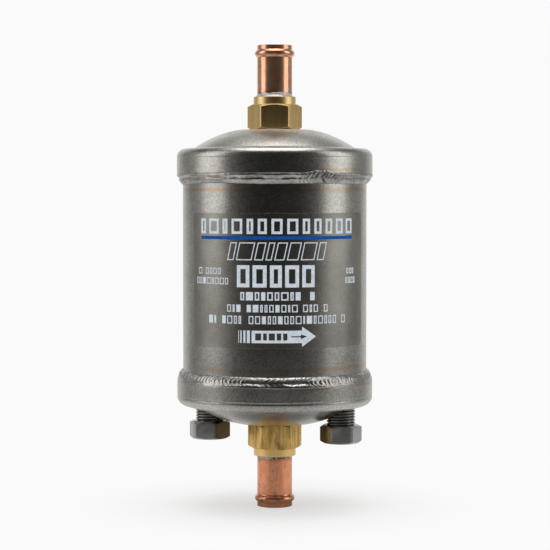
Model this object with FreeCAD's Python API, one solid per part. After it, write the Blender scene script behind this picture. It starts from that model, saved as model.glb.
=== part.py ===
"""Inline filter drier for a refrigerant line, in millimetres, with +Z up.

A rolled steel shell is closed by two pressed end caps that slip over it and are fillet welded on.
A brass adapter is brazed into the middle of each cap, with a beaded copper stub brazed into the adapter.
Two hex-head screws turn into blind bosses inside the lower cap. Inside the shell a moulded desiccant
block is pressed by a conical spring onto a filter pad, a wire screen and a perforated support plate.
The origin is the middle of the lower stub's end, on the vessel's axis, and the photographed side is -Y.
"""
import FreeCAD, Part
import math
import os

# Copper stub
stub_outer_r = 6.35
stub_wall = 1.0
stub_exposed = 18.5
stub_socket_depth = 9.3
stub_end_chamfer = 0.15
bead_height = 0.85
bead_crest_r = 1.2
bead_blend_r = 0.6
bead_inner_height = 0.7
bead_inner_crest_r = 0.7
bead_inner_blend_r = 0.5
bead_from_end = 3.0

# Brass adapter
hex_flats = 17.3
hex_height = 9.2
hex_chamfer_deg = 30.0
hex_face_share = 0.96
collar_wall = 1.3
collar_height = 2.8
collar_chamfer = 0.2
spigot_wall = 1.85
spigot_past_cap = 1.8
stub_socket_gap = 0.05
spigot_gap = 0.05
upper_braze_height = 1.5
lower_braze_height = 0.8
stub_braze_width = 0.9
cap_braze_leg = 1.3

# Shell
shell_outer_r = 33.25
shell_wall = 1.8
shell_lap = 3.3
shell_between_caps = 74.6

# Pressed end cap
cap_shell_gap = 0.05
cap_wall = 2.1
shoulder_inner_round = 0.9
shoulder_flat = 3.0
dome_r = 56.0
valley_round = 2.0
land_margin = 3.2

# Fillet weld between cap and shell
weld_leg = 3.75
weld_inset = 0.05
weld_bulge = 0.45
weld_wander = 0.25
weld_sections = 24

# Hex-head screws and the blind bosses they turn into
screw_from_valley = 4.6
screw_angle_deg = 15.8
screw_head_flats = 13.2
screw_head_height = 6.5
screw_head_face_share = 0.95
screw_head_drop = 6.87
screw_thread_r = 5.2
screw_length = 10.0
screw_tip_chamfer = 0.8
near_head_turn_deg = 3.2
far_head_turn_deg = -9.7
screw_gap = 0.1
boss_wall = 1.2
boss_end_wall = 1.6
boss_end_clearance = 0.6
boss_shell_gap = 0.35

# Label film
label_thickness = 0.15
label_height = 47.0
label_arc_length = 73.5
label_centre_deg = 4.2
label_above_cap = 13.65
label_corner_r = 2.2

# Support plate, screen, pad and gasket at the outlet end
plate_above_boss = 1.5
plate_thickness = 1.2
plate_rim_height = 7.5
plate_corner = 1.0
plate_shell_gap = 0.05
plate_hole_r = 2.4
plate_hole_margin = 2.0
plate_hole_steps = 2.68
screen_thickness = 0.4
screen_pitch = 7.2
screen_wire = 1.6
screen_rim = 1.6
pad_thickness = 5.0
pad_edge_gap = 0.1
gasket_width = 1.6
gasket_height = 4.0
gasket_core_gap = 0.1

# Desiccant block
core_taper = 0.6
core_edge_round = 2.5
core_bore_r = 8.0
core_bore_draft = 1.0
core_end_wall = 16.0

# Pressure plate and spring at the inlet end
follower_inset = 1.3
follower_thickness = 1.2
follower_rim_height = 2.4
follower_corner = 1.0
follower_hole_r = 2.2
follower_hole_count = 8
follower_centre_hole_r = 4.5
spring_height = 22.5
spring_wire_r = 1.1
spring_follower_gap = 3.5
spring_shell_gap = 0.75
spring_end_turns = 0.75
spring_free_turns = 2.0
spring_ground = 0.35
spring_sections_per_turn = 10

# Adapter radii
stub_inner_r = stub_outer_r - stub_wall
collar_r = stub_outer_r + collar_wall
spigot_r = stub_inner_r + spigot_wall
land_r = hex_flats / math.sqrt(3) + land_margin

# Vessel radii
shell_inner_r = shell_outer_r - shell_wall
cap_outer_r = shell_outer_r + cap_shell_gap + cap_wall
shoulder_round = shoulder_inner_round + cap_wall
dome_base_r = cap_outer_r - shoulder_round - shoulder_flat
dome_level = math.sqrt(dome_r ** 2 - dome_base_r ** 2)
dome_rise = math.sqrt(dome_r ** 2 - land_r ** 2) - dome_level
valley_r = math.sqrt((dome_r + valley_round) ** 2 - (dome_level + valley_round) ** 2)
screw_circle_r = dome_base_r - screw_from_valley
boss_r = screw_thread_r + screw_gap + boss_wall

# Radii of the pieces inside the shell
plate_r = shell_inner_r - plate_shell_gap
cup_inner_r = plate_r - plate_thickness
pad_r = cup_inner_r - pad_edge_gap
plate_hole_reach = pad_r - plate_hole_r - plate_hole_margin
plate_hole_pitch = plate_hole_reach / plate_hole_steps
core_r = pad_r - gasket_width - gasket_core_gap
core_top_r = core_r - core_taper
follower_r = core_top_r - core_edge_round - follower_inset
spring_low_r = follower_r - follower_thickness - spring_follower_gap - spring_wire_r
spring_high_r = shell_inner_r - spring_shell_gap - spring_wire_r

# Heights, from the lower stub's end upwards
collar_z = stub_exposed
hex_z = collar_z + collar_height
land_z = hex_z + hex_height
shoulder_z = land_z + dome_rise
dome_hub_z = shoulder_z + dome_level
screw_head_top_z = shoulder_z - screw_head_drop
screw_tip_z = screw_head_top_z + screw_length
boss_top_z = screw_tip_z + boss_end_clearance + boss_end_wall
shell_bottom_z = boss_top_z + boss_shell_gap
skirt_z = shell_bottom_z + shell_lap
total_height = 2 * skirt_z + shell_between_caps
shell_top_z = total_height - shell_bottom_z
plate_z = boss_top_z + plate_above_boss
screen_z = plate_z + plate_thickness
pad_z = screen_z + screen_thickness
core_z = pad_z + pad_thickness
spring_high_z = total_height - shoulder_z - cap_wall
spring_low_z = spring_high_z - spring_height
follower_z = spring_low_z - follower_thickness

AXIS = FreeCAD.Vector(0, 0, 1)
CENTRE = FreeCAD.Vector(0, 0, 0)


def at(radius, height):
    """A point of a profile, in the half plane that is spun about the axis."""
    return FreeCAD.Vector(radius, 0, height)


class Profile:
    """A closed outline of lines and arcs, drawn corner by corner and then spun about the axis."""

    def __init__(self, radius, height):
        self.first = at(radius, height)
        self.here = self.first
        self.edges = []

    def line(self, radius, height):
        end = at(radius, height)
        self.edges.append(Part.LineSegment(self.here, end).toShape())
        self.here = end
        return self

    def arc(self, centre, radius, height):
        """The shorter arc about a centre, to the given end."""
        middle = at(*centre)
        end = at(radius, height)
        towards = (self.here - middle).normalize() + (end - middle).normalize()
        halfway = middle + towards.normalize() * (end - middle).Length
        self.edges.append(Part.Arc(self.here, halfway, end).toShape())
        self.here = end
        return self

    def wire(self):
        if (self.here - self.first).Length > 1e-7:
            self.line(self.first.x, self.first.z)
        return Part.Wire(self.edges)

    def spin(self):
        return Part.Face(self.wire()).revolve(CENTRE, AXIS, 360)


def cylinder(radius, bottom, top, place=(0.0, 0.0)):
    return Part.makeCylinder(radius, top - bottom, FreeCAD.Vector(place[0], place[1], bottom), AXIS)


def ring(outer, inner, bottom, top):
    return cylinder(outer, bottom, top).cut(cylinder(inner, bottom, top))


def upside_down(shape):
    """The same piece at the other end of the vessel."""
    turned = shape.copy()
    turned.rotate(FreeCAD.Vector(0, 0, total_height / 2), FreeCAD.Vector(0, 1, 0), 180)
    return turned


def hex_bar(flats, bottom, top, face_share):
    """A hexagonal bar with flats towards -Y and +Y, and its corners turned off at both ends."""
    corner_r = flats / math.sqrt(3)
    steps = [i * math.pi / 3 for i in range(7)]
    corners = [FreeCAD.Vector(corner_r * math.cos(a), corner_r * math.sin(a), bottom) for a in steps]
    bar = Part.Face(Part.makePolygon(corners)).extrude(FreeCAD.Vector(0, 0, top - bottom))
    face_r = face_share * flats / 2
    outer_r = corner_r + 1
    drop = (outer_r - face_r) * math.tan(math.radians(hex_chamfer_deg))
    turned = Profile(0, bottom)
    turned.line(face_r, bottom).line(outer_r, bottom + drop)
    turned.line(outer_r, top - drop).line(face_r, top).line(0, top)
    return bar.common(turned.spin())


def add_bead(outline, wall_r, height, crest_r, blend_r, step):
    """Adds a rolled bead to a stub's wall, drawn upwards for step 1 and downwards for step -1."""
    reach = math.sqrt((crest_r + blend_r) ** 2 - (crest_r + blend_r - height) ** 2)
    crest = (wall_r + height - crest_r, bead_from_end)
    share = crest_r / (crest_r + blend_r)
    before = (wall_r + blend_r, bead_from_end - step * reach)
    after = (wall_r + blend_r, bead_from_end + step * reach)
    outline.line(wall_r, before[1])
    outline.arc(before, *[crest[i] + (before[i] - crest[i]) * share for i in (0, 1)])
    outline.arc(crest, wall_r + height, bead_from_end)
    outline.arc(crest, *[crest[i] + (after[i] - crest[i]) * share for i in (0, 1)])
    outline.arc(after, wall_r, after[1])


def copper_stub():
    """A tube with a bead rolled near its free end, which stops a hose or marks a flare nut's seat."""
    inner_end = collar_z + stub_socket_depth
    tube = Profile(stub_inner_r, 0)
    tube.line(stub_outer_r - stub_end_chamfer, 0).line(stub_outer_r, stub_end_chamfer)
    add_bead(tube, stub_outer_r, bead_height, bead_crest_r, bead_blend_r, 1)
    tube.line(stub_outer_r, inner_end).line(stub_inner_r, inner_end)
    add_bead(tube, stub_inner_r, bead_inner_height, bead_inner_crest_r, bead_inner_blend_r, -1)
    return tube.spin()


def brass_adapter():
    """Hexagon, collar and spigot turned from one bar, bored through, with a socket for the stub."""
    spigot_end = land_z + cap_wall + spigot_past_cap
    collar = Profile(0, collar_z)
    collar.line(collar_r - collar_chamfer, collar_z).line(collar_r, collar_z + collar_chamfer)
    collar.line(collar_r, hex_z).line(0, hex_z)
    hexagon = hex_bar(hex_flats, hex_z, land_z, hex_face_share)
    body = hexagon.fuse([collar.spin(), cylinder(spigot_r, land_z, spigot_end)])
    socket = cylinder(stub_outer_r + stub_socket_gap, collar_z, collar_z + stub_socket_depth)
    return body.cut([socket, cylinder(stub_inner_r, collar_z, spigot_end)]).removeSplitter()


def stub_braze(height):
    """The filler ring round a stub, a concave fillet on the collar's face."""
    foot_r = stub_outer_r + min(stub_braze_width, collar_wall - collar_chamfer)
    fillet = Profile(stub_outer_r, collar_z)
    fillet.line(stub_outer_r, collar_z - height)
    fillet.line(stub_outer_r + 0.4 * stub_braze_width, collar_z - 0.4 * height)
    fillet.line(foot_r, collar_z)
    return fillet.spin()


def cap_braze():
    """The filler fillet inside a cap, round the adapter's spigot."""
    inside_z = land_z + cap_wall
    fillet = Profile(spigot_r, inside_z)
    fillet.line(spigot_r + cap_braze_leg, inside_z).line(spigot_r, inside_z + cap_braze_leg)
    return fillet.spin()


def cap_form(inset):
    """The cap as a filled solid up to its skirt's end, with its skin set inwards by the inset."""
    skin_r = dome_r - inset
    flat_z = land_z + inset
    land_edge_r = math.sqrt(skin_r ** 2 - (dome_hub_z - flat_z) ** 2)
    valley = (valley_r, shoulder_z - valley_round)
    share = skin_r / (dome_r + valley_round)
    corner = (cap_outer_r - shoulder_round, shoulder_z + shoulder_round)
    form = Profile(0, flat_z)
    form.line(land_edge_r, flat_z)
    form.arc((0, dome_hub_z), share * valley[0], dome_hub_z + share * (valley[1] - dome_hub_z))
    form.arc(valley, valley_r, shoulder_z + inset)
    form.line(corner[0], shoulder_z + inset)
    form.arc(corner, cap_outer_r - inset, corner[1])
    form.line(cap_outer_r - inset, skirt_z).line(0, skirt_z)
    return form.spin()


def end_cap():
    """Flat land, low dome, valley, flat shoulder and skirt, pressed from one sheet."""
    hole = cylinder(spigot_r + spigot_gap, 0, skirt_z)
    return cap_form(0).cut([cap_form(cap_wall), hole])


def weld_bead(phase):
    """A hand-laid fillet weld: its toe and crown wander a little on the way round."""
    foot_r = cap_outer_r - weld_inset
    buried = 0.4 * weld_leg
    inner_r = shell_outer_r - buried
    sections = []
    for i in range(weld_sections):
        turn = 2 * math.pi * i / weld_sections
        wave = (math.sin(3 * turn + phase) + math.sin(5 * turn + 2.3 * phase)) / 2
        ripple = math.cos(8 * turn + phase)
        toe_z = skirt_z + weld_leg + weld_wander * wave
        crown = weld_bulge + 0.3 * weld_wander * ripple
        width = foot_r - shell_outer_r
        slope = math.hypot(width, toe_z - skirt_z)
        outward = ((toe_z - skirt_z) / slope, width / slope)
        middle = ((foot_r + shell_outer_r) / 2 + crown * outward[0],
                  (skirt_z + toe_z) / 2 + crown * outward[1])
        edges = [
            Part.LineSegment(at(inner_r, skirt_z - buried), at(foot_r, skirt_z - buried)),
            Part.LineSegment(at(foot_r, skirt_z - buried), at(foot_r, skirt_z)),
            Part.Arc(at(foot_r, skirt_z), at(*middle), at(shell_outer_r, toe_z)),
            Part.LineSegment(at(shell_outer_r, toe_z), at(inner_r, toe_z)),
            Part.LineSegment(at(inner_r, toe_z), at(inner_r, skirt_z - buried)),
        ]
        section = Part.Wire([edge.toShape() for edge in edges])
        section.rotate(CENTRE, AXIS, math.degrees(turn))
        sections.append(section)
    bead = Part.makeLoft(sections, True, False, True)
    outside = ring(cap_outer_r + weld_leg, shell_outer_r, skirt_z, skirt_z + 2 * weld_leg)
    return bead.common(outside)


def screw_place(side):
    """Where a screw's axis is: side 1 for the near one on the right, -1 for the far one on the left."""
    turn = math.radians(screw_angle_deg)
    return (side * screw_circle_r * math.cos(turn), -side * screw_circle_r * math.sin(turn))


def hex_screw(side, head_turn_deg):
    """A hex head with turned-off corners over a plain shank of the thread's size."""
    head = hex_bar(screw_head_flats, screw_head_top_z - screw_head_height, screw_head_top_z,
                   screw_head_face_share)
    head.rotate(CENTRE, AXIS, head_turn_deg)
    shank = Profile(0, screw_head_top_z)
    shank.line(screw_thread_r, screw_head_top_z).line(screw_thread_r, screw_tip_z - screw_tip_chamfer)
    shank.line(screw_thread_r - screw_tip_chamfer, screw_tip_z).line(0, screw_tip_z)
    screw = head.fuse(shank.spin()).removeSplitter()
    screw.translate(FreeCAD.Vector(*screw_place(side), 0))
    return screw


def screw_boss(side):
    """A blind boss welded inside the cap, shaped below to the cap's inner face."""
    place = screw_place(side)
    post = cylinder(boss_r, land_z, boss_top_z, place)
    hole = cylinder(screw_thread_r + screw_gap, land_z, screw_tip_z + boss_end_clearance, place)
    return post.common(cap_form(cap_wall)).cut(hole)


def label_film():
    """The label, bent round the shell, with rounded corners."""
    bottom_z = skirt_z + label_above_cap
    arc_deg = math.degrees(label_arc_length / shell_outer_r)
    film = Profile(shell_outer_r, bottom_z)
    film.line(shell_outer_r + label_thickness, bottom_z)
    film.line(shell_outer_r + label_thickness, bottom_z + label_height)
    film.line(shell_outer_r, bottom_z + label_height)
    sheet = Part.Face(film.wire()).revolve(CENTRE, AXIS, arc_deg)
    corners = [edge for edge in sheet.Edges if abs(edge.Length - label_thickness) < 1e-6]
    sheet = sheet.makeFillet(label_corner_r, corners)
    sheet.rotate(CENTRE, AXIS, -90 + label_centre_deg - arc_deg / 2)
    return sheet


def cup(outer_r, thickness, rim_height, corner, bottom):
    """A shallow pressed cup with a flat floor, a bevelled outer corner and a rim that stands up."""
    inner_r = outer_r - thickness
    shape = Profile(0, bottom)
    shape.line(outer_r - corner, bottom).line(outer_r, bottom + corner)
    shape.line(outer_r, bottom + rim_height).line(inner_r, bottom + rim_height)
    shape.line(inner_r, bottom + thickness).line(0, bottom + thickness)
    return shape.spin()


def hex_grid(pitch, reach):
    """The places of a hexagonal pattern that lie within the reach of the axis."""
    row_height = pitch * math.sqrt(3) / 2
    rows = int(reach / row_height)
    places = []
    for row in range(-rows, rows + 1):
        shift = pitch / 2 if row % 2 else 0.0
        columns = int(reach / pitch) + 1
        for column in range(-columns, columns + 1):
            place = (column * pitch + shift, row * row_height)
            if math.hypot(*place) <= reach:
                places.append(place)
    return places


def support_plate():
    """The perforated cup that carries the block, pressed into the shell."""
    plate = cup(plate_r, plate_thickness, plate_rim_height, plate_corner, plate_z)
    places = hex_grid(plate_hole_pitch, plate_hole_reach)
    holes = [cylinder(plate_hole_r, plate_z, screen_z, place) for place in places]
    return plate.cut(holes)


def wire_screen():
    """The screen that holds the pad's fibres back, with its cloth drawn as a coarse square mesh."""
    screen = cylinder(pad_r, screen_z, pad_z)
    gap = screen_pitch - screen_wire
    count = int(pad_r / screen_pitch)
    steps = [i * screen_pitch for i in range(-count, count + 1)]
    gaps = []
    for x in steps:
        for y in steps:
            if math.hypot(abs(x) + gap / 2, abs(y) + gap / 2) < pad_r - screen_rim:
                corner = FreeCAD.Vector(x - gap / 2, y - gap / 2, screen_z)
                gaps.append(Part.makeBox(gap, gap, screen_thickness, corner))
    return screen.cut(gaps)


def desiccant_core():
    """The moulded block, drawn in slightly towards the inlet, with a blind bore from the outlet side."""
    bore_top_z = follower_z - core_end_wall
    bore_top_r = core_bore_r - core_bore_draft
    edge = (core_top_r - core_edge_round, follower_z - core_edge_round)
    block = Profile(core_bore_r, core_z)
    block.line(core_r, core_z).line(core_top_r, edge[1])
    block.arc(edge, edge[0], follower_z)
    block.line(0, follower_z).line(0, bore_top_z).line(bore_top_r, bore_top_z)
    return block.spin()


def core_follower():
    """The perforated cup that spreads the spring's load over the block."""
    plate = cup(follower_r, follower_thickness, follower_rim_height, follower_corner, follower_z)
    circle_r = (follower_centre_hole_r + spring_low_r - spring_wire_r) / 2
    holes = [cylinder(follower_centre_hole_r, follower_z, spring_low_z)]
    for i in range(follower_hole_count):
        turn = 2 * math.pi * i / follower_hole_count
        place = (circle_r * math.cos(turn), circle_r * math.sin(turn))
        holes.append(cylinder(follower_hole_r, follower_z, spring_low_z, place))
    return plate.cut(holes)


def spring_rise(turn):
    """How far up the spring's wire is after some turns, from 0 to 1: level over both end coils."""
    climb = min(max((turn - spring_end_turns) / spring_free_turns, 0.0), 1.0)
    return climb * climb * (3 - 2 * climb)


def core_spring():
    """A conical wire spring, wound so that each coil clears the one inside it, with ground ends."""
    turns = 2 * spring_end_turns + spring_free_turns
    low = spring_low_z + spring_wire_r - spring_ground
    high = spring_high_z - spring_wire_r + spring_ground
    sections = []
    for i in range(round(turns * spring_sections_per_turn) + 1):
        turn = i / spring_sections_per_turn
        radius = spring_low_r + (spring_high_r - spring_low_r) * turn / turns
        height = low + (high - low) * spring_rise(turn)
        section = Part.Wire(Part.Circle(at(radius, height), FreeCAD.Vector(0, 1, 0), spring_wire_r).toShape())
        section.rotate(CENTRE, AXIS, 360 * turn)
        sections.append(section)
    coil = Part.makeLoft(sections, True, True)
    between = cylinder(spring_high_r + 2 * spring_wire_r, spring_low_z, spring_high_z)
    return coil.common(between)


def build():
    cap = end_cap()
    screw_holes = [cylinder(screw_thread_r + screw_gap, 0, skirt_z, screw_place(side)) for side in (1, -1)]
    stub = copper_stub()
    adapter = brass_adapter()
    braze = cap_braze()
    return {
        "shell": ring(shell_outer_r, shell_inner_r, shell_bottom_z, shell_top_z),
        "top_cap": upside_down(cap),
        "bottom_cap": cap.cut(screw_holes),
        "top_weld_bead": upside_down(weld_bead(1.1)),
        "bottom_weld_bead": weld_bead(0.0),
        "top_fitting": upside_down(adapter),
        "bottom_fitting": adapter,
        "top_stub": upside_down(stub),
        "bottom_stub": stub,
        "top_stub_braze": upside_down(stub_braze(upper_braze_height)),
        "bottom_stub_braze": stub_braze(lower_braze_height),
        "top_fitting_braze": upside_down(braze),
        "bottom_fitting_braze": braze,
        "screw_right": hex_screw(1, near_head_turn_deg),
        "screw_left": hex_screw(-1, far_head_turn_deg),
        "screw_boss_right": screw_boss(1),
        "screw_boss_left": screw_boss(-1),
        "label": label_film(),
        "support_plate": support_plate(),
        "outlet_screen": wire_screen(),
        "filter_pad": cylinder(pad_r, pad_z, core_z),
        "core_gasket": ring(pad_r, pad_r - gasket_width, core_z, core_z + gasket_height),
        "desiccant_core": desiccant_core(),
        "core_follower": core_follower(),
        "core_spring": core_spring(),
    }


if __name__ == "__main__":
    os.makedirs("parts", exist_ok=True)
    for name, piece in build().items():
        piece.exportStep(f"parts/{name}.step")
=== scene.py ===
import bmesh
import bpy
import math
import numpy as np
from mathutils import Matrix, Vector


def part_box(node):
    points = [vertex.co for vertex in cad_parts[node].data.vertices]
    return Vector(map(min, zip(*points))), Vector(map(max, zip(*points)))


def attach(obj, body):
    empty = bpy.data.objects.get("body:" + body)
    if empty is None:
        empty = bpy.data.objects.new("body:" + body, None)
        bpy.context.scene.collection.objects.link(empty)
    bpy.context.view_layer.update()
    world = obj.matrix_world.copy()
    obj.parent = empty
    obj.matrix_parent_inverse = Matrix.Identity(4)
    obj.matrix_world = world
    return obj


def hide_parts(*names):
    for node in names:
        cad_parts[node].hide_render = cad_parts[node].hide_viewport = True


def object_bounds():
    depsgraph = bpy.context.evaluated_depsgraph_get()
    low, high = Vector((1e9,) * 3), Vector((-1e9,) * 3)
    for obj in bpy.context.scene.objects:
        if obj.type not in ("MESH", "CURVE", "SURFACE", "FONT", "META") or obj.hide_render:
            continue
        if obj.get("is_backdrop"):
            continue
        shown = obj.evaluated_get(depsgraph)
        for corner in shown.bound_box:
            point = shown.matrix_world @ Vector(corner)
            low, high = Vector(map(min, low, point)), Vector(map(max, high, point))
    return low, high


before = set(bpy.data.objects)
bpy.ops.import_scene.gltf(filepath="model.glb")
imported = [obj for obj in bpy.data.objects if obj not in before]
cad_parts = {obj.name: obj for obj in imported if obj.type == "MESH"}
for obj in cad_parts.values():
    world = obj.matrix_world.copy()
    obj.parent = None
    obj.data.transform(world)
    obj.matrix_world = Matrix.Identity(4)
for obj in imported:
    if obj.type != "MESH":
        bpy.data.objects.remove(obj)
cad_low, cad_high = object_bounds()

# Studio.
# The vessel stands upright on a white table. A soft box on each side lights it a little from the front,
# a wide one hangs over it, the backdrop behind it is white, and the room behind the camera is dark.
MM = 0.001
camera_place = (0.0001, -0.680, 0.1138)
camera_pitch_deg = 2.5
camera_lens = 122.65
white = 0.957
fill_light = 0.62
table_half = 4.0
table_fade = (0.14, 0.29)
table_paint = (0.93, 0.93, 0.925, 1.0)
table_glow = 0.98
table_shade = 0.49
room_stops = [(0.0, 0.010), (0.17, 0.014), (0.29, 0.070), (0.38, 0.16), (0.55, 0.28), (0.67, 0.23),
              (0.76, 0.29), (0.84, 0.68), (0.92, 0.92), (1.0, 0.95)]
ceiling_level = 0.62
ceiling_fade = (0.72, 0.95)
gap_dimming = 0.60
gap_low = (0.41, 0.59)
gap_high = (0.88, 0.76)
table_front = 0.46
table_back = 0.74
table_side = 0.74
side_fade = (0.10, 0.30)
front_to_back = (-0.06, 0.06)
front_to_side = (0.50, 0.90)
reflected_shadow_fade = (0.010, 0.050)
reflected_shadow_level = 0.40
shade_fade = (0.010, 0.088)
side_box_deg = 80.0
side_box_distance = 0.72
side_box_size = (0.42, 0.86)
side_box_foot = 0.03
side_box_level = 1.10
top_box_height = 0.92
top_box_size = 0.62
top_box_level = 2.1


class Value:
    """A socket of a node tree. Sums and products of it add Math nodes to the same tree."""

    def __init__(self, tree, socket):
        self.tree = tree
        self.socket = socket

    def node(self, kind, settings=None, values=None, output=0):
        """Adds a node of another type: its settings come first, then its sockets' numbers or links."""
        made = self.tree.nodes.new(kind)
        for name, setting in (settings or {}).items():
            if name == "stops":
                set_stops(made.color_ramp, setting)
            else:
                setattr(made, name, setting)
        for key, value in (values or {}).items():
            for one in value if isinstance(value, list) else [value]:
                if isinstance(one, Value):
                    self.tree.links.new(one.socket, made.inputs[key])
                else:
                    made.inputs[key].default_value = one
        return Value(self.tree, made.outputs[output])

    def maths(self, operation, *others):
        return self.node("ShaderNodeMath", {"operation": operation}, dict(enumerate((self, *others))))

    def __add__(self, other):
        return self.maths("ADD", other)

    def __sub__(self, other):
        return self.maths("SUBTRACT", other)

    def __mul__(self, other):
        return self.maths("MULTIPLY", other)

    def __truediv__(self, other):
        return self.maths("DIVIDE", other)

    def __rsub__(self, other):
        return self.node("ShaderNodeMath", {"operation": "SUBTRACT"}, {0: other, 1: self})

    __radd__ = __add__
    __rmul__ = __mul__

    def size(self):
        return self.maths("ABSOLUTE")

    def over(self, other):
        return self.maths("GREATER_THAN", other)

    def power(self, other):
        return self.maths("POWER", other)

    def distance(self, other):
        """How far off the origin a point is, from its two coordinates."""
        return (self * self + other * other).maths("SQRT")

    def rise(self, low, high):
        """0 at low, 1 at high, and smooth between them. With low above high it falls instead."""
        return self.node("ShaderNodeMapRange", {"interpolation_type": "SMOOTHSTEP"},
                         {"Value": self, "From Min": low, "From Max": high})

    def xyz(self):
        outputs = self.node("ShaderNodeSeparateXYZ", values={0: self}).socket.node.outputs
        return [Value(self.tree, socket) for socket in outputs]

    def stretched(self, x, y, z):
        """The same coordinates, drawn out or pressed together along each axis."""
        return self.node("ShaderNodeVectorMath", {"operation": "MULTIPLY"}, {0: self, 1: (x, y, z)})

    def noise(self, scale, detail=2.0, roughness=0.5):
        """Cloudy noise between about 0.25 and 0.75 on these coordinates, with this many waves a metre."""
        return self.node("ShaderNodeTexNoise", values={
            "Vector": self, "Scale": scale, "Detail": detail, "Roughness": roughness})


def grey(level):
    return (level, level, level, 1.0)


def set_stops(ramp, stops):
    """Sets a ramp's stops from pairs of a place and a level of grey."""
    while len(ramp.elements) < len(stops):
        ramp.elements.new(0.5)
    for element, (place, level) in zip(ramp.elements, stops):
        element.position = place
        element.color = grey(level)


def mixed(factor, first, second):
    """A colour between two others."""
    return factor.node("ShaderNodeMix", {"data_type": "RGBA"}, {0: factor, 6: first, 7: second}, 2)


def room_level(x, y):
    """How bright the room is in the level direction (x, y), from the camera's side round to the back."""
    turn = x.maths("ARCTAN2", 0 - y).size() / math.pi
    return turn.node("ShaderNodeValToRGB", {"stops": room_stops}, {0: turn})


def light_path(tree):
    """Whether a ray is the camera's, and whether it comes off metal or through glass."""
    rays = tree.nodes.new("ShaderNodeLightPath").outputs
    camera = Value(tree, rays["Is Camera Ray"])
    glossy = Value(tree, rays["Is Glossy Ray"]).maths("MAXIMUM", Value(tree, rays["Is Transmission Ray"]))
    return camera, glossy


world = bpy.data.worlds.new("studio")
world.use_nodes = True
bpy.context.scene.world = world
sky = world.node_tree
sky.nodes.clear()
camera_ray, glossy_ray = light_path(sky)
way_x, way_y, way_z = Value(sky, sky.nodes.new("ShaderNodeTexCoord").outputs["Generated"]).xyz()
level_room = room_level(way_x, way_y)
ceiling = way_z.rise(*ceiling_fade)
gap = way_z.rise(*gap_low) * way_z.rise(*gap_high) * gap_dimming
room = mixed(gap, mixed(ceiling, level_room, grey(ceiling_level)), grey(0.0))
fill = mixed(glossy_ray, grey(fill_light), room)
seen = mixed(camera_ray, fill, grey(white))
backdrop = seen.node("ShaderNodeBackground", values={"Color": seen, "Strength": 1.0})
sky.links.new(backdrop.socket, sky.nodes.new("ShaderNodeOutputWorld").inputs["Surface"])

table_mesh = bpy.data.meshes.new("table")
table_corners = [(-table_half, -table_half, 0), (table_half, -table_half, 0),
                 (table_half, table_half, 0), (-table_half, table_half, 0)]
table_mesh.from_pydata(table_corners, [], [(0, 1, 2, 3)])
table = bpy.data.objects.new("table", table_mesh)
bpy.context.scene.collection.objects.link(table)
table_paper = bpy.data.materials.new("table paper")
table_paper.use_nodes = True
paper = table_paper.node_tree
paper.nodes.clear()
camera_ray, glossy_ray = light_path(paper)
ground = Value(paper, paper.nodes.new("ShaderNodeTexCoord").outputs["Object"])
ground_x, ground_y, _ = ground.xyz()
from_middle = ground_x.distance(ground_y)
far = from_middle.rise(*table_fade)
unshaded = from_middle.rise(*shade_fade)
matt = ground.node("ShaderNodeBsdfDiffuse", values={"Color": table_paint})
glow = mixed(unshaded, grey(table_glow), grey(white))
plain_white = ground.node("ShaderNodeEmission", values={"Color": glow})
towards_back = ground_y.rise(*front_to_back)
towards_side = (ground_x.size() / from_middle).rise(*front_to_side)
room_beyond = room_level(ground_x, ground_y)
# Metal sees the table as glowing greys set by where they lie, with a painted shadow under the vessel.
front_gloss = mixed(far, grey(table_front), room_beyond)
long_gloss = mixed(towards_back, front_gloss, grey(table_back))
side_gloss = mixed(from_middle.rise(*side_fade), grey(table_side), room_beyond)
open_gloss = mixed(towards_side, long_gloss, side_gloss)
# Painted shadow: the table as metal sees it is darker close under the vessel.
gloss = mixed(from_middle.rise(*reflected_shadow_fade), grey(reflected_shadow_level * table_front), open_gloss)
in_metal = ground.node("ShaderNodeEmission", values={"Color": gloss})
glowing = (1.0 - table_shade * (1.0 - unshaded)) * camera_ray
lit = ground.node("ShaderNodeMixShader", values={0: glowing, 1: matt, 2: plain_white})
shown = ground.node("ShaderNodeMixShader", values={0: glossy_ray, 1: lit, 2: in_metal})
paper.links.new(shown.socket, paper.nodes.new("ShaderNodeOutputMaterial").inputs["Surface"])
table_mesh.materials.append(table_paper)
table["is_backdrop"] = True


def soft_box(name, place, aim, size, level):
    """A rectangular lamp with an even face of the given brightness, turned towards a point."""
    lamp = bpy.data.lights.new(name, "AREA")
    lamp.shape = "RECTANGLE"
    lamp.size, lamp.size_y = size
    lamp.energy = level * math.pi * size[0] * size[1]
    box = bpy.data.objects.new(name, lamp)
    box.location = place
    box.rotation_euler = (Vector(aim) - Vector(place)).to_track_quat("-Z", "Y").to_euler()
    box.visible_camera = False
    bpy.context.scene.collection.objects.link(box)


box_height = side_box_foot + side_box_size[1] / 2
for side_name, side in (("left", -1), ("right", 1)):
    box_turn = math.radians(side_box_deg)
    box_place = (side * side_box_distance * math.sin(box_turn),
                 -side_box_distance * math.cos(box_turn), box_height)
    soft_box(f"{side_name} soft box", box_place, (0, 0, box_height), side_box_size, side_box_level)
soft_box("top soft box", (0, 0, top_box_height), (0, 0, 0), (top_box_size, top_box_size), top_box_level)

lens = bpy.data.cameras.new("camera")
lens.lens = camera_lens
camera = bpy.data.objects.new("camera", lens)
camera.location = camera_place
camera.rotation_euler = (math.radians(90 - camera_pitch_deg), 0, 0)
bpy.context.scene.collection.objects.link(camera)
bpy.context.scene.camera = camera
bpy.context.scene.view_settings.view_transform = "Standard"

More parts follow.
